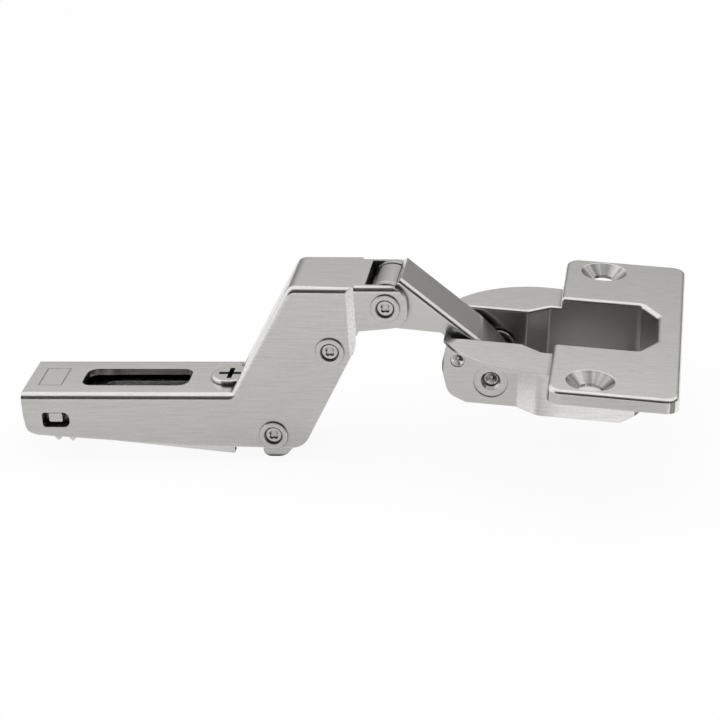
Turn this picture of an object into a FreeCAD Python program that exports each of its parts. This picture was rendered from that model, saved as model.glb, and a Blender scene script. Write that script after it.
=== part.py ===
import FreeCAD, Part
import math
import os

# Cranked concealed cabinet hinge, shown fully open. X runs along the arm towards the cup, Y across it, Z up.
# The origin lies on the underside of the rail's web, where the mounting plate seats, on the middle plane.

# Sheet thicknesses
ARM_T = 1.2
RAIL_T = 1.0
RAIL_WEB_T = 1.2
LINK_T = 1.0
CUP_T = 0.9
TRAY_T = 1.1
CHEEK_T = 0.55

# Linkage pivots in the XZ plane, with the hinge fully open, and the outer link's crest over them
PIVOT_A = (60.6, 19.4)
PIVOT_B = (50.8, 11.8)
PIVOT_C = (39.9, -3.9)
PIVOT_IN = (72.4, 10.3)
PIVOT_OUT = (77.8, 6.4)
TILT_PIVOT = (1.35, -0.95)
LINK_CREST = (PIVOT_A[0] + 2.7, PIVOT_A[1] + 4.6)
LINK_BEND = (PIVOT_OUT[0] - 2.1, PIVOT_OUT[1] + 6.6)

# Half widths, middle plane to outer face
ARM_HALF = 7.3
EAR_HALF = ARM_HALF - 0.8
RAIL_HALF = ARM_HALF - ARM_T - 0.85
RAIL_NOSE_HALF = 3.6
LINK_HALF = EAR_HALF - ARM_T - 0.15
INNER_LINK_HALF = 1.7
CATCH_HALF = ARM_HALF - ARM_T - 0.9

# Pins and holes
RIVET_R = 1.5
SLEEVE_R = 3.8
FRONT_PIN_R = 1.2
REAR_PIN_R = 1.2
PIN_FIT = 0.03
WASHER_R = 2.4
WASHER_H = 0.5
WASHER_BORE_R = 1.65

# Arm
TAIL_REAR = -4.4
TAIL_TOP = 3.6
CRANK_FOOT = (32.9, TAIL_TOP)
CRANK_HEAD = (44.3, 23.5)
ARM_END = 57.2
EAR_TOP = 23.04
JOGGLE_END = PIVOT_A[0] - 5.2
JOGGLE_START = JOGGLE_END - 1.3
ARM_BEND_R = 1.15
SLOT_X = (5.4, 24.5)
SLOT_HALF = 3.4
SLOT_CORNER_R = 1.8
WINDOW_X = (-1.0, 3.9)
WINDOW_Z = (-2.65, 0.15)

# Side adjusting screw
SCREW_X = 31.7
SCREW_HEAD_R = 3.4
SCREW_HEAD_TOP = 4.4
SCREW_NECK_R = 2.5
SCREW_COLLAR_R = 3.2
SCREW_SHANK_R = 2.35
SCREW_CLEAR = 0.15

# Rail
RAIL_REAR = -3.6
RAIL_FRONT = PIVOT_C[0] - 7.5
RAIL_NOSE = PIVOT_C[0] - 3.3
RAIL_SLOT_X = (8.6, 25.6)

# Cup, in its own frame: U along X, V along Y, N up out of the door, origin at the 35 mm bore's centre
CUP_BORE_R = 17.5
CUP_CENTRE = (PIVOT_OUT[0] - 9.3 + CUP_BORE_R, 14.6)
CUP_TILT = 5.5
CHEEK_TOP = -1.8
CUP_FLOOR = -12.3
CUP_FRONT_U = 2.5 - CUP_BORE_R
CUP_BACK_U = CUP_BORE_R + 2.1
NARROW_HALF = LINK_HALF + 1.5
WIDE_HALF = 9.3
NARROW_U = -2.6
WIDE_U = 1.0
RIM_R = 0.7
CHEEK_RIM_R = 0.5
SCREW_ROW_U = 9.5
SCREW_SPACING = 45.0
DOOR_SCREW_R = 2.1
COUNTERSINK_R = 4.0
TRAY_U = (SCREW_ROW_U - 6.7, CUP_BACK_U + 4.2)
TRAY_HALF = SCREW_SPACING / 2 + 4.9
TRAY_DEPTH = 2.4
TRAY_CORNER_R = 2.4
TRAY_EDGE_R = 0.7
PIN_SEAT_R = 2.95
PIN_SEAT_DEPTH = 0.25
PIN_COLLAR_R = 1.6
PIN_COLLAR_END = LINK_HALF + 0.15
MOUTH_HALF = LINK_HALF + 0.55
MOUTH_N = CUP_FLOOR + 3.6

# Springs
COIL_WIRE = 0.8
COIL_MEAN_R = 2.55
COIL_Y = LINK_HALF + 0.75
CATCH_WIRE_R = 0.35
CATCH_COIL_R = 2.2
CATCH_COIL_PITCH = 0.85
CATCH_COIL_TURNS = 4


def vec(x, y, z):
    return FreeCAD.Vector(x, y, z)


def round_outline(corners, place):
    """Closed wire through corners (a, b, radius), each rounded; place turns (a, b) into a point."""
    count = len(corners)
    stops = []
    for i in range(count):
        a, b, r = corners[i]
        here = vec(a, b, 0)
        if r == 0:
            stops.append((here, None, here))
            continue
        back = vec(corners[i - 1][0], corners[i - 1][1], 0) - here
        ahead = vec(corners[(i + 1) % count][0], corners[(i + 1) % count][1], 0) - here
        back.normalize()
        ahead.normalize()
        half = back.getAngle(ahead) / 2
        reach = r / math.tan(half)
        bisector = (back + ahead).normalize()
        middle = here + bisector * (r / math.sin(half) - r)
        stops.append((here + back * reach, middle, here + ahead * reach))
    edges = []
    for i in range(count):
        start, middle, end = stops[i]
        if middle is not None:
            edges.append(Part.Arc(place(start), place(middle), place(end)).toShape())
        following = stops[(i + 1) % count][0]
        if end.distanceToPoint(following) > 1e-6:
            edges.append(Part.LineSegment(place(end), place(following)).toShape())
    return Part.Wire(edges)


def side_plate(corners, y0, y1):
    """Outline in XZ, thick from y0 to y1."""
    wire = round_outline(corners, lambda p: vec(p.x, y0, p.y))
    return Part.Face(wire).extrude(vec(0, y1 - y0, 0))


def plan_plate(corners, z0, z1):
    """Outline in XY, thick from z0 to z1."""
    wire = round_outline(corners, lambda p: vec(p.x, p.y, z0))
    return Part.Face(wire).extrude(vec(0, 0, z1 - z0))


def plan_box(x0, x1, half, z0, z1, r=0):
    return plan_plate([(x0, -half, r), (x1, -half, r), (x1, half, r), (x0, half, r)], z0, z1)


def rod_y(centre, r, y0, y1):
    return Part.makeCylinder(r, y1 - y0, vec(centre[0], y0, centre[1]), vec(0, 1, 0))


def rod_z(x, y, r, z0, z1):
    return Part.makeCylinder(r, z1 - z0, vec(x, y, z0), vec(0, 0, 1))


def both_sides(shape):
    return shape.fuse(shape.mirror(vec(0, 0, 0), vec(0, 1, 0)))


def edges_where(shape, test):
    """Edges whose middle point passes the test."""
    found = []
    for edge in shape.Edges:
        middle = edge.valueAt((edge.FirstParameter + edge.LastParameter) / 2)
        if test(edge, middle):
            found.append(edge)
    return found


def rail_side_corners():
    """Rail seen from the side, with the depth teeth on its lower edge."""
    return [
        (RAIL_REAR, RAIL_WEB_T, 0),
        (RAIL_REAR, -3.2, 0),
        (-1.6, -5.3, 0.8),
        (0.1, -5.4, 0),
        (0.84, -6.25, 0.2),
        (1.7, -5.5, 0),
        (2.6, -5.5, 0),
        (3.4, -6.4, 0.2),
        (4.2, -5.6, 0),
        (8.1, -5.9, 0),
        (RAIL_FRONT, -8.5, 0.3),
        (RAIL_FRONT, RAIL_WEB_T, 0),
    ]


def inner_rail():
    """Folded channel inside the arm's tail; the mounting plate's clip goes into it from below."""
    outer = side_plate(rail_side_corners(), -RAIL_HALF, RAIL_HALF)
    top_edges = edges_where(
        outer, lambda e, m: abs(m.z - RAIL_WEB_T) < 0.01 and abs(m.y) > RAIL_HALF - 0.01
    )
    outer = outer.makeFillet(1.3, top_edges)
    inside = plan_box(RAIL_REAR - 5, RAIL_FRONT + 5, RAIL_HALF - RAIL_T, -20, 0)
    rail = outer.cut(inside)
    nose = plan_box(RAIL_FRONT - 1, RAIL_NOSE, RAIL_NOSE_HALF, 0, RAIL_WEB_T, 0.8)
    collar = rod_z(SCREW_X, 0, SCREW_SHANK_R + 1.0, -1.6, 0.2)
    tongue = side_plate(
        [
            (TILT_PIVOT[0] - 1.2, TILT_PIVOT[1] - 0.85, 0.3),
            (TILT_PIVOT[0] + 1.2, TILT_PIVOT[1] - 0.85, 0.3),
            (TILT_PIVOT[0] + 1.2, TILT_PIVOT[1] + 0.85, 0.3),
            (TILT_PIVOT[0] - 1.2, TILT_PIVOT[1] + 0.85, 0.3),
        ],
        RAIL_HALF - 0.5,
        ARM_HALF - 0.4,
    )
    rail = rail.fuse(nose).fuse(collar).fuse(both_sides(tongue))
    slot = plan_box(RAIL_SLOT_X[0], RAIL_SLOT_X[1], SLOT_HALF, -5, 5, SLOT_CORNER_R)
    thread = rod_z(SCREW_X, 0, SCREW_SHANK_R + SCREW_CLEAR, -5, 5)
    return rail.cut(slot).cut(thread).removeSplitter()


def arm_side_corners(inset, below):
    """Arm seen from the side. inset lowers the web's line, below drops the lower edge for a cutter."""
    slope = math.atan2(CRANK_HEAD[1] - CRANK_FOOT[1], CRANK_HEAD[0] - CRANK_FOOT[0])
    shift = inset * math.tan(slope / 2)
    web = [
        (TAIL_REAR - below, TAIL_TOP - inset, 0),
        (CRANK_FOOT[0] + shift, CRANK_FOOT[1] - inset, 0.8 + inset),
        (CRANK_HEAD[0] + shift, CRANK_HEAD[1] - inset, 2.3 - inset),
    ]
    if below:
        return web + [
            (ARM_END + below, EAR_TOP - inset, 0),
            (ARM_END + below, -below, 0),
            (TAIL_REAR - below, -below, 0),
        ]
    a = PIVOT_A
    return web + [
        (a[0] + 3.65, EAR_TOP, 3.2),
        (a[0] + 3.65, a[1] - 3.5, 3.2),
        (55.3, 15.1, 1.0),
        (54.75, 11.6, 2.6),
        (44.9, -6.5, 3.6),
        (24.4, -6.1, 0),
        (TAIL_REAR + 2.4, -4.2, 0),
        (TAIL_REAR + 0.35, -3.6, 1.6),
        (TAIL_REAR, -0.4, 0),
    ]


def arm_plan_corners(inset):
    """Arm seen from above: the cheeks step inwards at the joggle, before the ears."""
    wide = ARM_HALF - inset
    narrow = EAR_HALF - inset
    half = [
        (TAIL_REAR - 10, -wide, 0),
        (JOGGLE_START, -wide, 0),
        (JOGGLE_END, -narrow, 0),
        (PIVOT_A[0] + 20, -narrow, 0),
    ]
    return half + [(x, -y, r) for x, y, r in reversed(half)]


def bent_block(half):
    """Block under the web's line, run out past both ends, its long upper edges rounded as the sheet bends."""
    block = side_plate(arm_side_corners(0, 20), -half, half)
    bends = edges_where(block, lambda e, m: abs(m.y) > half - 0.01 and on_web(m))
    return block.makeFillet(ARM_BEND_R, bends)


def hinge_arm():
    """Cranked arm pressed from one sheet: tail, crank, upper flat and two ears."""
    outer = bent_block(ARM_HALF).common(plan_plate(arm_plan_corners(0), -20, 40))
    beyond_joggle = plan_box(JOGGLE_END, ARM_END + 30, ARM_HALF, -30, 50)
    ears = bent_block(EAR_HALF).common(beyond_joggle)
    outer = outer.cut(beyond_joggle).fuse(ears)
    outer = outer.common(side_plate(arm_side_corners(0, 0), -ARM_HALF, ARM_HALF))
    inside = side_plate(arm_side_corners(ARM_T, 20), -ARM_HALF, ARM_HALF)
    inside = inside.common(plan_plate(arm_plan_corners(ARM_T), -30, 40))
    arm = outer.cut(inside)
    over_ears = plan_box(ARM_END, ARM_END + 20, EAR_HALF - ARM_T, 0, 40)
    arm = arm.cut(over_ears)
    slot = plan_box(SLOT_X[0], SLOT_X[1], SLOT_HALF, 0, 8, SLOT_CORNER_R)
    arm = arm.cut(slot)
    neck_hole = rod_z(SCREW_X, 0, SCREW_NECK_R + SCREW_CLEAR, 0, TAIL_TOP + 1)
    access = rod_z(SCREW_X, 0, SCREW_HEAD_R + 0.35, TAIL_TOP, 12)
    arm = arm.cut(neck_hole).cut(access)
    window = side_plate(
        [
            (WINDOW_X[0], WINDOW_Z[0], 0.6),
            (WINDOW_X[1], WINDOW_Z[0], 1.1),
            (WINDOW_X[1], WINDOW_Z[1], 1.1),
            (WINDOW_X[0], WINDOW_Z[1], 0.6),
        ],
        -ARM_HALF - 1,
        ARM_HALF + 1,
    )
    arm = arm.cut(window)
    for pivot in (PIVOT_A, PIVOT_B, PIVOT_C):
        arm = arm.cut(rod_y(pivot, RIVET_R + PIN_FIT, -ARM_HALF - 1, ARM_HALF + 1))
    return arm


def on_web(m):
    """Whether a point lies on the web's outer line, from the tail's top to the end of the upper flat."""
    if m.x < CRANK_FOOT[0]:
        return m.z > TAIL_TOP - 0.01
    run = (CRANK_HEAD[1] - CRANK_FOOT[1]) / (CRANK_HEAD[0] - CRANK_FOOT[0])
    crank_z = CRANK_FOOT[1] + (m.x - CRANK_FOOT[0]) * run
    return m.z > min(crank_z, EAR_TOP) - 0.6


def star_recess(centre, y, depth_dir):
    """Small four-lobed recess left by the riveting tool in a rivet's end."""
    lobes = []
    for k in range(4):
        turn = math.radians(45 + 90 * k)
        at = (centre[0] + 0.5 * math.cos(turn), centre[1] + 0.5 * math.sin(turn))
        lobes.append(rod_y(at, 0.38, min(y, y + depth_dir), max(y, y + depth_dir)))
    recess = rod_y(centre, 0.5, min(y, y + depth_dir), max(y, y + depth_dir))
    for lobe in lobes:
        recess = recess.fuse(lobe)
    return recess


def rivet(centre, face):
    """Rivet through both cheeks, with its two closed ends deep in the washers."""
    end = face + 0.12
    body = rod_y(centre, RIVET_R, -end, end)
    body = body.makeFillet(0.3, edges_where(body, lambda e, m: abs(m.y) > end - 0.01))
    return body.cut(star_recess(centre, -end, 0.35)).cut(star_recess(centre, end, -0.35))


def rivet_washer(centre, face, side):
    """Raised ring round a rivet's end, countersunk towards the rivet."""
    ring = Part.makeCylinder(WASHER_R, WASHER_H, vec(centre[0], 0, centre[1]), vec(0, 1, 0))
    rim = edges_where(ring, lambda e, m: abs(m.y - WASHER_H) < 0.01)
    ring = ring.makeFillet(0.12, rim)
    ring = ring.cut(rod_y(centre, RIVET_R + PIN_FIT, -1, 1))
    ring = ring.cut(rod_y(centre, WASHER_BORE_R, 0.12, 1))
    ring.translate(vec(0, face, 0))
    if side < 0:
        ring = ring.mirror(vec(0, 0, 0), vec(0, 1, 0))
    return ring


def side_adjust_screw():
    """Cross-recessed screw held by its neck in the arm and threaded through the rail's collar."""
    web_under = TAIL_TOP - ARM_T
    screw = rod_z(SCREW_X, 0, SCREW_SHANK_R, -3.2, web_under - 0.3)
    screw = screw.fuse(rod_z(SCREW_X, 0, SCREW_COLLAR_R, web_under - 0.45, web_under - 0.06))
    screw = screw.fuse(rod_z(SCREW_X, 0, SCREW_NECK_R, web_under - 0.2, TAIL_TOP + 0.2))
    head = rod_z(SCREW_X, 0, SCREW_HEAD_R, TAIL_TOP + 0.06, SCREW_HEAD_TOP)
    rim = edges_where(head, lambda e, m: abs(m.z - SCREW_HEAD_TOP) < 0.01)
    screw = screw.fuse(head.makeFillet(0.3, rim))
    for turn in (0, 90):
        blade = Part.makeBox(4.2, 0.85, 1.6, vec(SCREW_X - 2.1, -0.425, SCREW_HEAD_TOP - 1.1))
        blade.rotate(vec(SCREW_X, 0, 0), vec(0, 0, 1), turn)
        screw = screw.cut(blade)
    return screw


def front_catch():
    """Folded catch that swings on the lower rivet and hooks under the mounting plate's stud."""
    c = PIVOT_C
    corners = [
        (c[0] - 2.5, c[1] + 3.6, 1.2),
        (c[0] - 2.5, c[1] - 5.2, 1.3),
        (c[0] + 1.3, c[1] - 5.2, 2.4),
        (c[0] + 4.6, c[1] - 1.4, 1.8),
        (c[0] + 4.6, c[1] + 3.6, 1.6),
    ]
    catch = side_plate(corners, -CATCH_HALF, CATCH_HALF)
    hollow = side_plate(
        [
            (c[0] - 10, c[1] + 10, 0),
            (c[0] - 10, c[1] - 4.2, 0),
            (c[0] + 0.9, c[1] - 4.2, 0.5),
            (c[0] + 0.9, c[1] - 10, 0),
            (c[0] + 10, c[1] - 10, 0),
            (c[0] + 10, c[1] + 10, 0),
        ],
        -CATCH_HALF + 1.0,
        CATCH_HALF - 1.0,
    )
    catch = catch.cut(hollow)
    return catch.cut(rod_y(c, RIVET_R + PIN_FIT, -ARM_HALF, ARM_HALF))


def wire_between(points, r):
    """Round wire through the points, with ball joints."""
    solid = Part.makeSphere(r, points[0])
    for start, end in zip(points, points[1:]):
        run = end - start
        solid = solid.fuse(Part.makeCylinder(r, run.Length, start, run))
        solid = solid.fuse(Part.makeSphere(r, end))
    return solid


def catch_spring():
    """Coil round the lower rivet that swings the catch back, its ends on the arm's web and on the catch."""
    height = CATCH_COIL_PITCH * CATCH_COIL_TURNS
    path = Part.makeHelix(CATCH_COIL_PITCH, height, CATCH_COIL_R)
    profile = Part.Circle(vec(CATCH_COIL_R, 0, 0), vec(0, 1, 0), CATCH_WIRE_R).toShape()
    coil = Part.Wire(path.Edges).makePipeShell([Part.Wire([profile])], True, True)
    coil.translate(vec(0, 0, -height / 2))
    coil.rotate(vec(0, 0, 0), vec(1, 0, 0), 90)
    coil.translate(vec(PIVOT_C[0], 0, PIVOT_C[1]))
    up_start = vec(PIVOT_C[0] + CATCH_COIL_R, -height / 2, PIVOT_C[1])
    up_leg = wire_between([up_start, up_start + vec(0, 0, 4.5)], CATCH_WIRE_R)
    down_start = vec(PIVOT_C[0] + CATCH_COIL_R, height / 2, PIVOT_C[1])
    down_leg = wire_between([down_start, down_start - vec(0, 0, 3.6)], CATCH_WIRE_R)
    return coil.fuse(up_leg).fuse(down_leg)


def outer_link_corners():
    """Outer link seen from the side: knuckle on the arm, neck over the front pin, knuckle in the cup."""
    a = PIVOT_A
    o = PIVOT_OUT
    i = PIVOT_IN
    return [
        (*LINK_CREST, 0),
        (*LINK_BEND, 4.2),
        (o[0] + 0.55, o[1] + 3.6, 3.0),
        (o[0] + 2.2, o[1] + 1.2, 0),
        (o[0] + 2.3, o[1] - 2.3, 2.2),
        (o[0] - 2.4, o[1] - 2.3, 2.2),
        (o[0] - 2.5, o[1] + 1.6, 0),
        (i[0] + 2.1, i[1] + 0.1, 0),
        (i[0] + 1.3, i[1] + 1.7, 0.6),
        (i[0] - 1.0, i[1] + 1.75, 0.6),
        (i[0] - 2.7, i[1] + 4.0, 1.2),
        (a[0] + 0.3, a[1] - 4.1, 0),
        (a[0], a[1], 0),
        (a[0] + 1.8, a[1] + 3.7, 0),
    ]


def outer_link():
    """Outer link folded from one sheet, a web with two flanges."""
    a = PIVOT_A
    o = PIVOT_OUT
    body = side_plate(outer_link_corners(), -LINK_HALF, LINK_HALF)
    bend_edges = edges_where(
        body,
        lambda e, m: abs(m.y) > LINK_HALF - 0.01 and link_web_side(m),
    )
    body = body.makeFillet(0.9, bend_edges)
    knuckle = rod_y(a, 3.9, -LINK_HALF, LINK_HALF)
    body = body.fuse(knuckle)
    hollow = side_plate(
        [
            (LINK_CREST[0] - 0.7, LINK_CREST[1] - 0.8, 0),
            (LINK_BEND[0] - 0.5, LINK_BEND[1] - 1.0, 3.2),
            (o[0] - 0.4, o[1] + 3.1, 0.6),
            (o[0] + 0.6, o[1] + 1.9, 0),
            (o[0] + 10, o[1] + 1.9, 0),
            (o[0] + 10, -10, 0),
            (a[0] - 10, -10, 0),
            (a[0] - 10, 30, 0),
            (a[0] - 3.6, a[1] + 10.0, 0),
        ],
        -LINK_HALF + LINK_T,
        LINK_HALF - LINK_T,
    )
    link = body.cut(hollow)
    link = link.cut(rod_y(a, RIVET_R + PIN_FIT, -10, 10))
    link = link.cut(rod_y(o, REAR_PIN_R + PIN_FIT, -10, 10))
    link = link.cut(rod_y(PIVOT_IN, FRONT_PIN_R + 0.35, -10, 10))
    return link


def link_web_side(m):
    """Whether a point lies on the web's long edge of the outer link."""
    if m.x < LINK_CREST[0] + 0.01 or m.z < PIVOT_OUT[1] + 2.2:
        return False
    fall = (LINK_CREST[1] - LINK_BEND[1]) / (LINK_BEND[0] - LINK_CREST[0])
    return m.z > LINK_CREST[1] - (m.x - LINK_CREST[0]) * fall - 1.2


def link_sleeve():
    """Spacer sleeve on the upper rivet, between the outer link's flanges."""
    half = LINK_HALF - LINK_T - 0.1
    sleeve = rod_y(PIVOT_A, SLEEVE_R, -half, half)
    sleeve = sleeve.makeFillet(0.3, edges_where(sleeve, lambda e, m: abs(m.y) > half - 0.01))
    return sleeve.cut(rod_y(PIVOT_A, RIVET_R + PIN_FIT, -10, 10))


def inner_link():
    """Inner link, a narrow cranked bar: a long eye on the arm's middle rivet, a round one in the cup."""
    b = PIVOT_B
    i = PIVOT_IN
    under_sleeve = PIVOT_A[1] - SLEEVE_R - 0.35
    corners = [
        (b[0] - 3.5, b[1] - 3.3, 2.8),
        (b[0] + 3.0, b[1] - 3.3, 0.6),
        (b[0] + 3.0, b[1] + 1.45, 0),
        (b[0] + 5.8, b[1] + 1.45, 0),
        (b[0] + 10.7, b[1] + 2.1, 6.0),
        (i[0] - 2.5, i[1] + 2.65, 0.6),
        (i[0] - 2.3, i[1] - 2.3, 2.2),
        (i[0] + 2.3, i[1] - 2.3, 2.2),
        (i[0] + 2.3, i[1] + 2.3, 2.2),
        (i[0] - 1.4, i[1] + 2.9, 3.0),
        (b[0] + 12.4, under_sleeve, 3.0),
        (b[0] + 7.8, under_sleeve, 1.0),
        (b[0] + 6.6, b[1] + 5.4, 1.2),
        (b[0] - 3.5, b[1] + 5.4, 3.5),
    ]
    link = side_plate(corners, -INNER_LINK_HALF, INNER_LINK_HALF)
    link = link.cut(side_plate(long_eye_corners(), -10, 10))
    return link.cut(rod_y(i, FRONT_PIN_R + PIN_FIT, -10, 10))


def long_eye_corners():
    """The long eye leaves the middle rivet free all through the fold."""
    b = PIVOT_B
    return [
        (b[0] - 1.8, b[1] - 1.8, 1.6),
        (b[0] + 3.4, b[1] - 1.6, 2.6),
        (b[0] + 5.9, b[1] + 1.6, 1.7),
        (b[0] + 5.4, b[1] + 4.2, 1.7),
        (b[0] + 1.6, b[1] + 4.0, 1.7),
        (b[0] - 1.8, b[1] + 1.4, 1.6),
    ]


def spacer_bush(centre, pin_r, r, far_face, side):
    """Spacer bush on a pin, between the inner link and the face that stands outside it."""
    y0 = INNER_LINK_HALF + 0.15
    bush = rod_y(centre, r, y0, far_face).cut(rod_y(centre, pin_r + PIN_FIT, y0 - 1, far_face + 1))
    if side < 0:
        bush = bush.mirror(vec(0, 0, 0), vec(0, 1, 0))
    return bush


def cup_plan_corners(grow):
    """Cavity's plan in the cup's frame: narrow mouth, slanted step, wide part, cut corners. grow offsets it."""
    narrow = NARROW_HALF + grow
    wide = WIDE_HALF + grow
    back = CUP_BACK_U + grow
    front = CUP_FRONT_U - grow
    half = [
        (front, -narrow, 0.6 + grow),
        (NARROW_U - 0.3 * grow, -narrow, 1.0),
        (WIDE_U - 0.3 * grow, -wide, 1.0 + grow),
        (CUP_BACK_U - 2.9 + 0.5 * grow, -wide, 1.2 + grow),
        (back, -(WIDE_HALF - 4.4) - 0.5 * grow, 1.2 + grow),
    ]
    return half + [(u, -v, r) for u, v, r in reversed(half)]


def cup_side_corners(grow, top):
    """Cup body's long section: rounded front, flat floor, sloped rear corner."""
    floor = CUP_FLOOR - grow
    front = CUP_FRONT_U - grow
    back = CUP_BACK_U + grow
    return [
        (front + 0.9, top, 0),
        (front, CUP_FLOOR + 5.1, 4.0),
        (front + 1.5, floor + 1.3, 1.8 + grow),
        (front + 4.5, floor, 2.0),
        (CUP_BACK_U - 5.3 + 0.4 * grow, floor, 1.0),
        (back, CUP_FLOOR + 2.7, 1.0),
        (back, top, 0),
    ]


def cup_shell_solid(grow, top):
    """Filled cup body, offset by grow from the cavity's faces."""
    solid = plan_plate(cup_plan_corners(grow), CUP_FLOOR - grow - 1, top)
    return solid.common(side_plate(cup_side_corners(grow, top), -CUP_BORE_R, CUP_BORE_R))


def tray_block():
    """Outer form of the tray, still filled."""
    block = plan_box(TRAY_U[0], TRAY_U[1], TRAY_HALF, -TRAY_DEPTH, 0, TRAY_CORNER_R)
    return block.makeFillet(TRAY_EDGE_R, edges_where(block, lambda e, m: abs(m.z) < 0.01))


def tray_hollow():
    """Space under the tray, inside its skirt."""
    return plan_box(
        TRAY_U[0] + TRAY_T,
        TRAY_U[1] - TRAY_T,
        TRAY_HALF - TRAY_T,
        -TRAY_DEPTH - 1,
        -TRAY_T,
        TRAY_CORNER_R - TRAY_T,
    )


def cheeks():
    """Low half of the cup's rim, a piece of the 35 mm bore's circle."""
    disc = rod_z(0, 0, CUP_BORE_R, CHEEK_TOP - CHEEK_T, CHEEK_TOP)
    kept = plan_box(CUP_FRONT_U - 0.6, TRAY_U[0] + 0.5, CUP_BORE_R + 1, -5, 5)
    return disc.common(kept)


def on_tray_rim(edge, m):
    """Cavity's rim at the tray's level, and down the tray's front skirt to the cheeks."""
    level = abs(m.z) < 0.01 and abs(m.y) < WIDE_HALF + 0.3 and m.x < CUP_BACK_U + 0.3
    level = level and abs(m.y) + m.x < CUP_BACK_U + NARROW_HALF
    beside = abs(abs(m.y) - WIDE_HALF) < 0.01 and TRAY_U[0] - 0.01 < m.x < TRAY_U[0] + TRAY_EDGE_R
    return level or (beside and m.z > CHEEK_TOP)


def on_cheek_rim(edge, m):
    """Cavity's rim at the cheeks' level, along the narrow mouth and the slanted step."""
    level = abs(m.z - CHEEK_TOP) < 0.01 and abs(m.y) < WIDE_HALF + 0.3
    return level and CUP_FRONT_U + 0.6 < m.x < TRAY_U[0] - 1.2


def cup():
    """Drawn steel cup with its cheeks and screw tray, one sheet."""
    block = tray_block()
    riser = plan_plate(cup_plan_corners(CUP_T), CHEEK_TOP - 1, 1).common(block)
    shell = cup_shell_solid(CUP_T, CHEEK_TOP - 0.3).fuse(cheeks())
    shell = shell.fuse(block.cut(tray_hollow())).fuse(riser)
    shell = shell.cut(cup_shell_solid(0, 3))
    shell = shell.makeFillet(RIM_R, edges_where(shell, on_tray_rim))
    shell = shell.makeFillet(CHEEK_RIM_R, edges_where(shell, on_cheek_rim))
    for side in (-1, 1):
        foot = vec(SCREW_ROW_U, side * SCREW_SPACING / 2, -TRAY_T - 0.5)
        sink = Part.makeCone(DOOR_SCREW_R, COUNTERSINK_R, TRAY_T + 0.5, foot)
        boss = Part.makeCone(DOOR_SCREW_R + 0.5, COUNTERSINK_R + 0.6, TRAY_T + 0.9, foot - vec(0, 0, 0.5))
        shell = shell.fuse(boss.common(block)).cut(sink)
        shell = shell.cut(rod_z(foot.x, foot.y, DOOR_SCREW_R, -6, 1))
    mouth = plan_box(CUP_FRONT_U - 3, CUP_FRONT_U + 1.5, MOUTH_HALF, MOUTH_N, 5)
    shell = shell.cut(mouth)
    shell = place_cup(shell)
    return cut_pin_seats(shell)


def place_cup(shape):
    """From the cup's own frame to the open hinge."""
    shape.rotate(vec(0, 0, 0), vec(0, 1, 0), CUP_TILT)
    shape.translate(vec(CUP_CENTRE[0], 0, CUP_CENTRE[1]))
    return shape


def cut_pin_seats(shell):
    """Pin holes through the narrow walls, the rear one in a round seat with a collar drawn inwards."""
    outer_face = NARROW_HALF + CUP_T
    seat_face = outer_face - PIN_SEAT_DEPTH
    for side in (-1, 1):
        out = vec(0, side, 0)
        inner_end = vec(PIVOT_OUT[0], side * PIN_COLLAR_END, PIVOT_OUT[1])
        collar = Part.makeCylinder(PIN_COLLAR_R, seat_face - PIN_COLLAR_END, inner_end, out)
        seat = Part.makeCylinder(PIN_SEAT_R, 1, vec(PIVOT_OUT[0], side * seat_face, PIVOT_OUT[1]), out)
        entry_start = vec(PIVOT_OUT[0], side * (seat_face - 0.5), PIVOT_OUT[1])
        entry = Part.makeCone(REAR_PIN_R, REAR_PIN_R + 0.5, 0.5, entry_start, out)
        shell = shell.fuse(collar).cut(seat).cut(entry)
    shell = shell.cut(rod_y(PIVOT_OUT, REAR_PIN_R + PIN_FIT, -10, 10))
    return shell.cut(rod_y(PIVOT_IN, FRONT_PIN_R + PIN_FIT, -10, 10))


def cup_pin(centre, r, half):
    """Pin with a conical dimple in each end."""
    pin = rod_y(centre, r, -half, half)
    for side in (-1, 1):
        end = vec(centre[0], side * half, centre[1])
        pin = pin.cut(Part.makeCone(r - 0.2, 0.2, 0.7, end, vec(0, -side, 0)))
    return pin


def closing_spring(side):
    """Leg spring beside the outer link: a turn round the rear pin, a leg on the floor, a short one ahead."""
    centre = vec(PIVOT_OUT[0] + 0.1, COIL_Y, PIVOT_OUT[1] + 0.5)
    r = COIL_WIRE / 2
    coil = Part.makeTorus(COIL_MEAN_R, r, centre, vec(0, 1, 0))
    tilt = math.radians(CUP_TILT)
    along = vec(math.cos(tilt), 0, -math.sin(tilt))
    up = vec(math.sin(tilt), 0, math.cos(tilt))
    floor_leg = wire_between(
        [centre - up * COIL_MEAN_R, centre - up * COIL_MEAN_R + along * 7.5],
        r,
    )
    front_leg = wire_between(
        [centre - along * COIL_MEAN_R, centre - along * (COIL_MEAN_R + 0.3) - up * 1.6],
        r,
    )
    spring = coil.fuse(floor_leg).fuse(front_leg)
    if side < 0:
        spring = spring.mirror(vec(0, 0, 0), vec(0, 1, 0))
    return spring


def save(name, shape):
    shape.exportStep("parts/" + name + ".step")


os.makedirs("parts", exist_ok=True)

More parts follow.
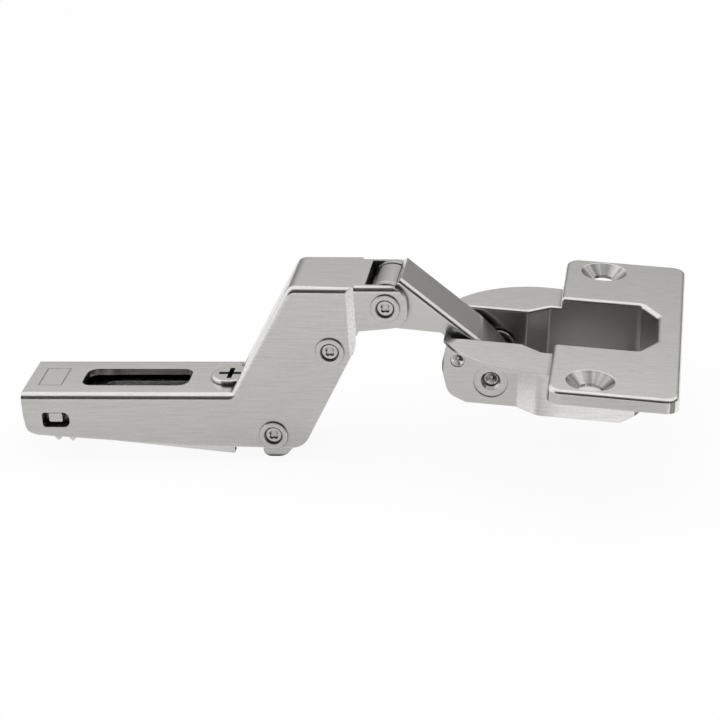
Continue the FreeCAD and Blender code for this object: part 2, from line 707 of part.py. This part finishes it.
save("inner_rail", inner_rail())
save("hinge_arm", hinge_arm())
save("side_adjust_screw", side_adjust_screw())
save("front_catch", front_catch())
save("catch_spring", catch_spring())
for letter, centre, face in (
    ("a", PIVOT_A, EAR_HALF),
    ("b", PIVOT_B, ARM_HALF),
    ("c", PIVOT_C, ARM_HALF),
):
    save("rivet_" + letter, rivet(centre, face))
    for word, side in (("near", -1), ("far", 1)):
        save("rivet_" + letter + "_washer_" + word, rivet_washer(centre, face, side))
save("outer_link", outer_link())
save("link_sleeve", link_sleeve())
save("inner_link", inner_link())
save("cup", cup())
save("cup_front_pin", cup_pin(PIVOT_IN, FRONT_PIN_R, NARROW_HALF + CUP_T - 0.15))
save("cup_rear_pin", cup_pin(PIVOT_OUT, REAR_PIN_R, NARROW_HALF - 0.2))
for word, side in (("near", -1), ("far", 1)):
    save("inner_link_bush_" + word, spacer_bush(PIVOT_B, RIVET_R, 2.6, ARM_HALF - ARM_T - 0.05, side))
    save("front_pin_spacer_" + word, spacer_bush(PIVOT_IN, FRONT_PIN_R, 2.0, LINK_HALF - LINK_T - 0.15, side))
    save("closing_spring_" + word, closing_spring(side))
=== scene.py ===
import math

import bpy
from mathutils import Matrix, Vector


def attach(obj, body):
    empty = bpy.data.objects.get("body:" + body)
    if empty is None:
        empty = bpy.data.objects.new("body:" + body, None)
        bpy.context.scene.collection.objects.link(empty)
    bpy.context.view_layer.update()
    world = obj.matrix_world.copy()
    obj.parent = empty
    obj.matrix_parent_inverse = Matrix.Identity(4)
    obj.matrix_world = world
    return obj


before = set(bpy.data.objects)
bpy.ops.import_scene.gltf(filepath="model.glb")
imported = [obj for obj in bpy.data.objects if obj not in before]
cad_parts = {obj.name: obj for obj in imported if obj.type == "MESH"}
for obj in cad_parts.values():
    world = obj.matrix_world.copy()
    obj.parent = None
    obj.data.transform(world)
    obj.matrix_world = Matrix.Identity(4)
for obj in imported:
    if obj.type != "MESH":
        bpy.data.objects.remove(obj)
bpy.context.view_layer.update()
scene = bpy.context.scene

# The photographer's place: a long lens a little right of the hinge, looking down at it, slightly rolled.
# The picture is square, so the focal length in pixels becomes millimetres on a 36 mm sensor.
PHOTO_PX = 720
FOCAL_PX = 2343.6
SENSOR_MM = 36.0
EYE_MM = Vector((117.3, -361.6, 173.9))
YAW, PITCH, ROLL = (math.radians(a) for a in (-9.84, 24.47, -4.09))
NEAR_M, FAR_M = 0.01, 20

ahead = Vector((math.sin(YAW) * math.cos(PITCH), math.cos(YAW) * math.cos(PITCH), -math.sin(PITCH)))
level = Vector((math.cos(YAW), -math.sin(YAW), 0))
upright = level.cross(ahead)
across = level * math.cos(ROLL) + upright * math.sin(ROLL)
above = upright * math.cos(ROLL) - level * math.sin(ROLL)
turned = Matrix((across, above, -ahead)).transposed().to_4x4()
lens = bpy.data.cameras.new("photo_lens")
lens.sensor_width = SENSOR_MM
lens.lens = FOCAL_PX / PHOTO_PX * SENSOR_MM
lens.clip_start, lens.clip_end = NEAR_M, FAR_M
camera = bpy.data.objects.new("photo_camera", lens)
camera.matrix_world = Matrix.Translation(EYE_MM / 1000) @ turned
scene.collection.objects.link(camera)
scene.camera = camera
scene.view_settings.view_transform = "Standard"


# Studio table: a sheet of white paper that runs out of sight, with plain white all round and above it.
# Seen straight on or in the metal it is white; the hinge's soft shadow stays on it as a faint grey.
PAPER_LEVEL_MM = -9.3
PAPER_SIZE_M = 6
PAPER_WHITE_SHARE = 0.93  # the rest of what is seen of the paper is lit, and takes the shadow
FALLING_LIGHT = 0.7  # strength of the room's white where it falls on things


def linear(hex_colour):
    """sRGB hex to the linear colour that Blender's sockets take."""
    parts = [int(hex_colour[i:i + 2], 16) / 255 for i in (1, 3, 5)]
    return [c / 12.92 if c <= 0.04045 else ((c + 0.055) / 1.055) ** 2.4 for c in parts] + [1.0]


def node(tree, kind, links=None, **settings):
    """Adds one node. Settings are properties, or inputs as in_NAME or in_NUMBER; links feed inputs."""
    made = tree.nodes.new(kind)
    for name, value in settings.items():
        if not name.startswith("in_"):
            setattr(made, name, value)
    for name, value in settings.items():
        if name.startswith("in_"):
            key = name[3:]
            made.inputs[int(key) if key.isdigit() else key.replace("_", " ")].default_value = value
    for key, socket in (links or {}).items():
        tree.links.new(socket, made.inputs[key])
    return made


def empty_material(name):
    """A material with no node yet."""
    made = bpy.data.materials.new(name)
    made.use_nodes = True
    made.node_tree.nodes.clear()
    return made


def rays_that_see_white(tree):
    """1 for what the lens sees, straight, in the metal or through glass; 0 for light that falls on things."""
    rays = node(tree, "ShaderNodeLightPath").outputs
    seen = rays["Is Camera Ray"]
    for more in ("Is Glossy Ray", "Is Transmission Ray"):
        seen = node(tree, "ShaderNodeMath", {0: seen, 1: rays[more]}, operation="MAXIMUM").outputs[0]
    return seen


world = bpy.data.worlds.new("white_room")
scene.world = world
world.use_nodes = True
tree = world.node_tree
tree.nodes.clear()
falling = node(tree, "ShaderNodeBackground", in_Color=linear("#f1f0ee"), in_Strength=FALLING_LIGHT)
white = node(tree, "ShaderNodeBackground", in_Color=linear("#ffffff"), in_Strength=1.0)
room = node(
    tree, "ShaderNodeMixShader", {0: rays_that_see_white(tree), 1: falling.outputs[0], 2: white.outputs[0]}
)
node(tree, "ShaderNodeOutputWorld", {0: room.outputs[0]})

bpy.ops.mesh.primitive_plane_add(size=PAPER_SIZE_M, location=(0, 0, PAPER_LEVEL_MM / 1000))
table = bpy.context.object
table.name = "white_paper_table"
paper = empty_material("white_paper")
tree = paper.node_tree
sheet = node(tree, "ShaderNodeBsdfDiffuse", in_Color=linear("#f4f4f4"))
shine = node(tree, "ShaderNodeEmission", in_Color=linear("#ffffff"), in_Strength=1.0)
share = node(
    tree, "ShaderNodeMath", {0: rays_that_see_white(tree)}, operation="MULTIPLY", in_1=PAPER_WHITE_SHARE
)
surface = node(
    tree, "ShaderNodeMixShader", {0: share.outputs[0], 1: sheet.outputs[0], 2: shine.outputs[0]}
)
node(tree, "ShaderNodeOutputMaterial", {0: surface.outputs[0]})
table.data.materials.append(paper)

# Studio boards and lamp: black velvet on the photographer's side and at the right, a dark sheet under the hinge
# as painted shade, grey boards laid before it, a graded backdrop beyond it and one soft box overhead. The
# boards are out of the picture and show only in the metal, as the dark lines along its bends, the even grey of
# its sides and the duller tops.
JUST_OVER_PAPER_M = (PAPER_LEVEL_MM + 0.1) / 1000
SOFT_BOX_M = (1.0, 0.8)
SOFT_BOX_PLACE_M = (0.1, -0.06, 0.55)
SOFT_BOX_WATTS = 2.3


def board(name, colour, width_m, height_m, centre_m, lean_deg=90, turn_deg=0, top_colour=None):
    """A matt board lying flat or leaning up by lean_deg, turned about the upright, graded towards its top."""
    bpy.ops.mesh.primitive_plane_add(size=1)
    made = bpy.context.object
    made.name = name
    made.scale = (width_m, height_m, 1)
    made.rotation_euler = (math.radians(lean_deg), 0, math.radians(turn_deg))
    made.location = centre_m
    made.visible_camera = False
    made.visible_shadow = False
    made.visible_diffuse = False
    coat = empty_material(name + "_matt")
    tree = coat.node_tree
    place = node(tree, "ShaderNodeTexCoord").outputs["Generated"]
    up_the_board = node(tree, "ShaderNodeSeparateXYZ", {0: place}).outputs["Y"]
    grade = node(
        tree,
        "ShaderNodeMix",
        {0: up_the_board},
        data_type="RGBA",
        in_6=linear(colour),
        in_7=linear(top_colour or colour),
    )
    matt = node(tree, "ShaderNodeBsdfDiffuse", {"Color": grade.outputs[2]})
    node(tree, "ShaderNodeOutputMaterial", {0: matt.outputs[0]})
    made.data.materials.append(coat)


board("velvet_before", "#1a1a1a", 2.2, 1.5, (0.1, -0.75, 0.76), top_colour="#8a8a8a")
board("backdrop", "#404040", 2.6, 0.46, (0.0, 0.8, 0.23), top_colour="#e6e6e6")
board("velvet_right", "#1a1a1a", 1.5, 0.6, (0.95, -0.25, 0.31), turn_deg=90, top_colour="#9a9a9a")
# Painted shade: a dark sheet under the hinge, seen only in the metal, stands in for the shade that falls there.
board("dark_sheet_as_painted_shade_under", "#1c1c1c", 0.135, 0.019, (0.052, 0.0035, JUST_OVER_PAPER_M), lean_deg=0)
board("grey_before_tail", "#cdcdcd", 0.086, 0.012, (0.003, -0.018, JUST_OVER_PAPER_M), lean_deg=0)
board("grey_before_arm", "#cdcdcd", 0.16, 0.111, (0.006, -0.0795, JUST_OVER_PAPER_M), lean_deg=0)
board("grey_before_tray", "#bdbdbd", 0.08, 0.08, (0.126, -0.097, JUST_OVER_PAPER_M), lean_deg=0)

lamp_light = bpy.data.lights.new("soft_box", "AREA")
lamp_light.shape = "RECTANGLE"
lamp_light.size, lamp_light.size_y = SOFT_BOX_M
lamp_light.energy = SOFT_BOX_WATTS
soft_box = bpy.data.objects.new("soft_box", lamp_light)
soft_box.location = SOFT_BOX_PLACE_M
soft_box.visible_glossy = False
scene.collection.objects.link(soft_box)


# Rail: a channel folded from cold-rolled steel strip, bright nickel plated, that clips over the mounting plate.
# The plate is thin, so the strip's rolled grain still shows: faint streaks along X in a soft grey shine,
# broken up a little by the plate's own orange peel.
GRAIN_WIDTH_MM = 0.28  # the real grain is about 0.05 mm, drawn coarser so that it shows
GRAIN_RUN_MM = 7.0
ORANGE_PEEL_MM = 0.45
PEEL_SHARE = 0.3
GRAIN_RANGE = (0.3, 0.7)  # noise values that become the dull and the bright tone
GRAIN_GLOSS = 0.02  # how far the grain moves the roughness to either side
EDGE_ROUND_MM = 0.12
EDGE_RANGE = (0.999, 0.85)  # cosines between the rounded and the flat normal: no edge, full edge
EDGE_HIGHLIGHT_TONE = "#f6f5f2"  # painted highlight: the plate's tone brighter along the edges
SHUT_IN = 0.1  # open share of the sky where the painted shade in a hollow is darkest
STRIP_OPEN = 0.75  # open share from which a strip has no painted shade
STRIP_GAP = (0.9, 0.35, 0.85)  # the same painted shade for narrow gaps: reach in mm, tone left, open share


def painted_shade_in_corners(tree, tone, shade_reaches):
    """The plate's tone with painted shade, darker where walls stand near. shade_reaches: reach in mm, tone
    left, open share.
    """
    for reach_mm, closed, free in shade_reaches:
        seen = node(tree, "ShaderNodeAmbientOcclusion", samples=8, in_Distance=reach_mm / 1000).outputs["AO"]
        share = node(
            tree, "ShaderNodeMapRange", {"Value": seen}, in_1=SHUT_IN, in_2=free, in_3=closed, in_4=1.0
        ).outputs[0]
        grey = node(tree, "ShaderNodeCombineColor", {0: share, 1: share, 2: share}).outputs[0]
        tone = node(
            tree, "ShaderNodeMix", {6: tone, 7: grey}, data_type="RGBA", blend_type="MULTIPLY", in_0=1.0
        ).outputs[2]
    return tone


def nickel_on_strip(name, dull, bright, roughness, marks=None, hollow_mm=7.0, hollow_shade_share=0.15):
    """Nickel plate on rolled or drawn steel. dull and bright are its tones; marks, when given, paints shade and
    reflections on them by place.
    """
    made = empty_material(name)
    tree = made.node_tree
    at = node(tree, "ShaderNodeTexCoord").outputs["Object"]
    streaks_per_m = [1000 / size for size in (GRAIN_RUN_MM, GRAIN_WIDTH_MM, GRAIN_WIDTH_MM)]
    run = node(tree, "ShaderNodeMapping", {"Vector": at}, in_Scale=streaks_per_m).outputs[0]
    streaks = node(
        tree, "ShaderNodeTexNoise", {"Vector": run}, in_Scale=1.0, in_Detail=4.0, in_Roughness=0.6
    ).outputs["Fac"]
    peel = node(
        tree, "ShaderNodeTexNoise", {"Vector": at}, in_Scale=1000 / ORANGE_PEEL_MM, in_Detail=3.0
    ).outputs["Fac"]
    grain = node(
        tree, "ShaderNodeMix", {2: streaks, 3: peel}, data_type="FLOAT", in_0=PEEL_SHARE
    ).outputs[0]
    spread = node(
        tree, "ShaderNodeMapRange", {"Value": grain}, in_1=GRAIN_RANGE[0], in_2=GRAIN_RANGE[1]
    ).outputs[0]

    rounded = node(tree, "ShaderNodeBevel", samples=6, in_Radius=EDGE_ROUND_MM / 1000).outputs[0]
    flat = node(tree, "ShaderNodeNewGeometry").outputs["Normal"]
    facing = node(
        tree, "ShaderNodeVectorMath", {0: rounded, 1: flat}, operation="DOT_PRODUCT"
    ).outputs["Value"]
    edge_highlight = node(
        tree, "ShaderNodeMapRange", {"Value": facing}, in_1=EDGE_RANGE[0], in_2=EDGE_RANGE[1]
    ).outputs[0]

    tone = node(
        tree, "ShaderNodeMix", {0: spread}, data_type="RGBA", in_6=linear(dull), in_7=linear(bright)
    ).outputs[2]
    # Painted highlight: the tone is brighter along the edges.
    tone = node(
        tree, "ShaderNodeMix", {0: edge_highlight, 6: tone}, data_type="RGBA", in_7=linear(EDGE_HIGHLIGHT_TONE)
    ).outputs[2]
    if marks:
        tone = marks(tree, at, tone)
    # Painted shade: the tone is darkened in hollows and narrow gaps, where walls stand near.
    tone = painted_shade_in_corners(tree, tone, [(hollow_mm, hollow_shade_share, STRIP_OPEN), STRIP_GAP])
    gloss = node(
        tree,
        "ShaderNodeMapRange",
        {"Value": spread},
        in_3=roughness + GRAIN_GLOSS,
        in_4=roughness - GRAIN_GLOSS,
    ).outputs[0]
    metal = node(
        tree,
        "ShaderNodeBsdfPrincipled",
        {"Base Color": tone, "Roughness": gloss, "Normal": rounded},
        in_Metallic=1.0,
    )
    node(tree, "ShaderNodeOutputMaterial", {0: metal.outputs[0]})
    return made


def dress(material, *names):
    """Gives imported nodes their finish."""
    for name in names:
        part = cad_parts[name]
        part.data.materials.clear()
        part.data.materials.append(material)


dress(nickel_on_strip("rolled_strip_nickel_plated", "#e0dfdd", "#eae9e7", 0.27, hollow_mm=4.0), "inner_rail")

# Arm: blanked from the same strip and pressed in one piece, its tail, crank, upper flat and two ears.
# It keeps the strip's fine grain. A plain square outline is stamped on the tail's top; it is a piece of its own
# here, a low ridge whose slopes are darker in tone, painted shade that draws the stamped groove as a thin grey
# line.
STAMP_X_MM = (-2.1, 2.0)
STAMP_HALF_MM = 3.4
STAMP_LINE_MM = 0.5
STAMP_HEIGHT_MM = 0.03
STAMP_SUNK_MM = 0.02  # the ridge's feet stand this far in the tail's top
STAMP_CORNERS = 4
TAIL_TOP_MM = 3.6


def add_mesh(name, points_mm, faces, material, body):
    """A new piece from points in millimetres, riding on a body."""
    mesh = bpy.data.meshes.new(name)
    mesh.from_pydata([[c / 1000 for c in p] for p in points_mm], [], faces)
    mesh.validate()
    mesh.materials.append(material)
    made = bpy.data.objects.new(name, mesh)
    scene.collection.objects.link(made)
    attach(made, body)


def square_ring(reach_mm):
    """Corners of the stamped square, grown by reach_mm."""
    x0, x1 = STAMP_X_MM[0] - reach_mm, STAMP_X_MM[1] + reach_mm
    y = STAMP_HALF_MM + reach_mm
    return [(x0, -y), (x1, -y), (x1, y), (x0, y)]


ARM_NICKEL = nickel_on_strip("pressed_arm_nickel_plated", "#dad9d7", "#f1f0ee", 0.25)
dress(ARM_NICKEL, "hinge_arm")
rings = [
    (square_ring(STAMP_LINE_MM / 2), TAIL_TOP_MM - STAMP_SUNK_MM),
    (square_ring(0.0), TAIL_TOP_MM + STAMP_HEIGHT_MM),
    (square_ring(-STAMP_LINE_MM / 2), TAIL_TOP_MM - STAMP_SUNK_MM),
]
points = [(x, y, z) for ring, z in rings for x, y in ring]
slopes = []
for first in range(0, len(points), STAMP_CORNERS):
    for corner in range(STAMP_CORNERS):
        a, b = first + corner, first + (corner + 1) % STAMP_CORNERS
        slopes.append((a, b, (b + STAMP_CORNERS) % len(points), (a + STAMP_CORNERS) % len(points)))
# Painted shade: the ridge's slopes are darker in tone, standing in for the shade in the stamped groove.
STAMP_LINE_SHADE_NICKEL = nickel_on_strip("stamped_line_painted_shade", "#8d8c8a", "#989795", 0.35)
add_mesh("stamped_square", points, slopes, STAMP_LINE_SHADE_NICKEL, "arm")

# Catch: a small folded hook of the same plated strip, and its coil of drawn spring wire on the lower rivet.
# The wire is smooth and a little darker than the strip, with a sharper shine round each turn.
TURNED_RANGE = (0.35, 0.65)  # noise values that become the dull and the bright tone
TURNED_GLOSS = 0.03
TURNED_EDGE_MM = 0.06
TOOL_MARK_MM = 0.002  # depth of the marks, too fine to be a shape
TURNED_HOLLOWS = [(7.0, 0.2, 0.72), (0.5, 0.08, 0.85)]  # painted shade in hollows and narrow gaps: reach in mm, tone left, open share


def bright_turned_steel(name, dull, bright, roughness, mark_mm):
    """Drawn or turned steel under nickel: tighter shine than strip, with fine marks every mark_mm."""
    made = empty_material(name)
    tree = made.node_tree
    at = node(tree, "ShaderNodeTexCoord").outputs["Object"]
    marks = node(
        tree, "ShaderNodeTexNoise", {"Vector": at}, in_Scale=1000 / mark_mm, in_Detail=2.0
    ).outputs["Fac"]
    spread = node(
        tree, "ShaderNodeMapRange", {"Value": marks}, in_1=TURNED_RANGE[0], in_2=TURNED_RANGE[1]
    ).outputs[0]
    tone = node(
        tree, "ShaderNodeMix", {0: spread}, data_type="RGBA", in_6=linear(dull), in_7=linear(bright)
    ).outputs[2]
    # Painted shade: the tone is darkened where walls stand near.
    tone = painted_shade_in_corners(tree, tone, TURNED_HOLLOWS)
    gloss = node(
        tree,
        "ShaderNodeMapRange",
        {"Value": spread},
        in_3=roughness + TURNED_GLOSS,
        in_4=roughness - TURNED_GLOSS,
    ).outputs[0]
    rounded = node(tree, "ShaderNodeBevel", samples=6, in_Radius=TURNED_EDGE_MM / 1000).outputs[0]
    height = node(
        tree, "ShaderNodeMath", {0: marks}, operation="MULTIPLY", in_1=TOOL_MARK_MM / 1000
    ).outputs[0]
    lift = node(tree, "ShaderNodeBump", {"Height": height, "Normal": rounded}, in_Strength=1.0, in_Distance=1.0)
    metal = node(
        tree,
        "ShaderNodeBsdfPrincipled",
        {"Base Color": tone, "Roughness": gloss, "Normal": lift.outputs[0]},
        in_Metallic=1.0,
    )
    node(tree, "ShaderNodeOutputMaterial", {0: metal.outputs[0]})
    return made


dress(nickel_on_strip("folded_catch_nickel_plated", "#deddda", "#e8e7e4", 0.27), "front_catch")
SPRING_WIRE = bright_turned_steel("drawn_spring_wire", "#8f8e8c", "#a3a29f", 0.2, 0.3)
dress(SPRING_WIRE, "catch_spring")

# Rivets: cold-headed steel, nickel plated, a raised ring on both sides and a small lobed recess in each end.
# They are smoother than the strip, so ring and end catch small hard highlights.
RIVET_STEEL = bright_turned_steel("cold_headed_rivet_steel", "#e0dfdd", "#ecebe9", 0.2, 0.35)
for letter in "abc":
    dress(RIVET_STEEL, f"rivet_{letter}", f"rivet_{letter}_washer_near", f"rivet_{letter}_washer_far")

# Side adjusting screw: turned and thread-rolled steel with a flat cross-recessed head, nickel plated.
# The head's face is bright and the recess falls into shade.
dress(bright_turned_steel("turned_screw_nickel_plated", "#e2e1de", "#eeedea", 0.2, 0.3), "side_adjust_screw")

# Outer link: one strip folded into a web and two flanges, its upper end curled round the sleeve on the rivet.
# It is plated like the arm; the sleeve on the rivet is cut from smooth drawn tube.
dress(nickel_on_strip("folded_link_nickel_plated", "#e2e1df", "#ecebe9", 0.25), "outer_link")
dress(bright_turned_steel("drawn_tube_nickel_plated", "#e6e5e3", "#efeeec", 0.16, 0.5), "link_sleeve")

# Inner link: a narrow cranked bar under the upper rivet, between bushes, mostly hidden by the outer link.
# It is blanked from thick strip and plated with the rest.
dress(nickel_on_strip("blanked_bar_nickel_plated", "#d6d5d3", "#e0dfdd", 0.3), "inner_link")
for side in ("near", "far"):
    dress(RIVET_STEEL, f"inner_link_bush_{side}", f"front_pin_spacer_{side}")

# Cup: deep-drawn steel sheet, one piece with its cheeks and screw tray, nickel plated.
# It has the arm's tones and grain, but painted shade darkens its wide cavity from further off, down to half the
# tone.
CUP_CENTRE_MM = (86.0, 14.6)
CUP_TILT = math.radians(5.5)
# Painted shade in the cavity: reach in mm and the share of tone left at its darkest.
CUP_HOLLOW_MM = 18.0
CUP_HOLLOW_SHADE_SHARE = 0.5
# Painted shade on the cavity's slanted steps: the tone there, and the least parts of the normal that pick the
# steps out.
STEP_SHADE_TONE = "#a09e9b"
STEP_FACES_X = 0.4  # least forward and sideways parts of the normal of the cavity's slanted steps
STEP_FACES_Y = 0.68
SCREW_ROW_MM = 9.5
SCREW_HALF_SPACING_MM = 22.5
COUNTERSINK_R_MM = 4.05
COUNTERSINK_FROM_MM = 0.06  # how far under the tray's top the bands start
# Painted reflection on the countersinks: radial bands, darker and lighter, by bearing.
BANDS_PER_RADIAN = 1.6
BAND_RANGE = (0.38, 0.62)
PAINTED_BAND_TONES = (0.3, 0.8)


def painted_step_shade_and_bands(tree, at, tone):
    """Painted shade on the slanted steps inside the cavity, and painted reflection bands on the countersinks.
    """
    normal = node(tree, "ShaderNodeTexCoord").outputs["Normal"]
    turned = node(tree, "ShaderNodeSeparateXYZ", {0: normal}).outputs
    forward = node(
        tree, "ShaderNodeMath", {0: turned["X"]}, operation="GREATER_THAN", in_1=STEP_FACES_X
    ).outputs[0]
    sideways = node(tree, "ShaderNodeMath", {0: turned["Y"]}, operation="ABSOLUTE").outputs[0]
    sideways = node(
        tree, "ShaderNodeMath", {0: sideways}, operation="GREATER_THAN", in_1=STEP_FACES_Y
    ).outputs[0]
    shaded_step = node(tree, "ShaderNodeMath", {0: forward, 1: sideways}, operation="MULTIPLY").outputs[0]
    # Painted shade: the slanted steps are darkened.
    tone = node(
        tree,
        "ShaderNodeMix",
        {0: shaded_step, 6: tone},
        data_type="RGBA",
        blend_type="MULTIPLY",
        in_7=linear(STEP_SHADE_TONE),
    ).outputs[2]

    foot_x = (CUP_CENTRE_MM[0] + SCREW_ROW_MM * math.cos(CUP_TILT)) / 1000
    top_z = (CUP_CENTRE_MM[1] - SCREW_ROW_MM * math.sin(CUP_TILT)) / 1000
    half_spacing = SCREW_HALF_SPACING_MM / 1000
    axes = node(tree, "ShaderNodeSeparateXYZ", {0: at}).outputs
    along = node(tree, "ShaderNodeMath", {0: axes["X"]}, operation="SUBTRACT", in_1=foot_x).outputs[0]
    aside = node(tree, "ShaderNodeMath", {0: axes["Y"]}, operation="ABSOLUTE").outputs[0]
    aside = node(tree, "ShaderNodeMath", {0: aside}, operation="SUBTRACT", in_1=half_spacing).outputs[0]
    place = node(tree, "ShaderNodeCombineXYZ", {0: along, 1: aside}).outputs[0]
    off_axis = node(tree, "ShaderNodeVectorMath", {0: place}, operation="LENGTH").outputs["Value"]
    within = node(
        tree, "ShaderNodeMath", {0: off_axis}, operation="LESS_THAN", in_1=COUNTERSINK_R_MM / 1000
    ).outputs[0]
    drop = node(tree, "ShaderNodeMath", {0: along}, operation="MULTIPLY", in_1=-math.tan(CUP_TILT)).outputs[0]
    depth = node(tree, "ShaderNodeMath", {0: axes["Z"], 1: drop}, operation="SUBTRACT").outputs[0]
    below = node(
        tree, "ShaderNodeMath", {0: depth}, operation="LESS_THAN", in_1=top_z - COUNTERSINK_FROM_MM / 1000
    ).outputs[0]
    sunk = node(tree, "ShaderNodeMath", {0: within, 1: below}, operation="MULTIPLY").outputs[0]

    # Painted reflection: the countersinks' walls are darkened in radial bands.
    bearing = node(tree, "ShaderNodeMath", {0: aside, 1: along}, operation="ARCTAN2").outputs[0]
    wave = node(
        tree,
        "ShaderNodeTexNoise",
        {"W": bearing},
        noise_dimensions="1D",
        in_Scale=BANDS_PER_RADIAN,
        in_Detail=1.5,
    ).outputs["Fac"]
    dark = node(
        tree,
        "ShaderNodeMapRange",
        {"Value": wave},
        in_1=BAND_RANGE[0],
        in_2=BAND_RANGE[1],
        in_3=PAINTED_BAND_TONES[0],
        in_4=PAINTED_BAND_TONES[1],
    ).outputs[0]
    painted_bands = node(tree, "ShaderNodeCombineColor", {0: dark, 1: dark, 2: dark}).outputs[0]
    return node(
        tree, "ShaderNodeMix", {0: sunk, 6: tone, 7: painted_bands}, data_type="RGBA", blend_type="MULTIPLY"
    ).outputs[2]


dress(
    nickel_on_strip(
        "deep_drawn_cup_nickel_plated",
        "#dad9d7",
        "#f1f0ee",
        0.25,
        marks=painted_step_shade_and_bands,
        hollow_mm=CUP_HOLLOW_MM,
        hollow_shade_share=CUP_HOLLOW_SHADE_SHARE,
    ),
    "cup",
)

# Link pins: short drawn steel pins through the cup's walls, each end dimpled to lock it.
# Plain and bright, they show as a light point in each shaded seat.
dress(RIVET_STEEL, "cup_front_pin", "cup_rear_pin")

# Closing springs: drawn wire coiled beside the outer link, on the rear pin, one leg along the cup's floor.
# Each leg presses on the link, so the door is pulled shut over the last of its travel.
dress(SPRING_WIRE, "closing_spring_near", "closing_spring_far")
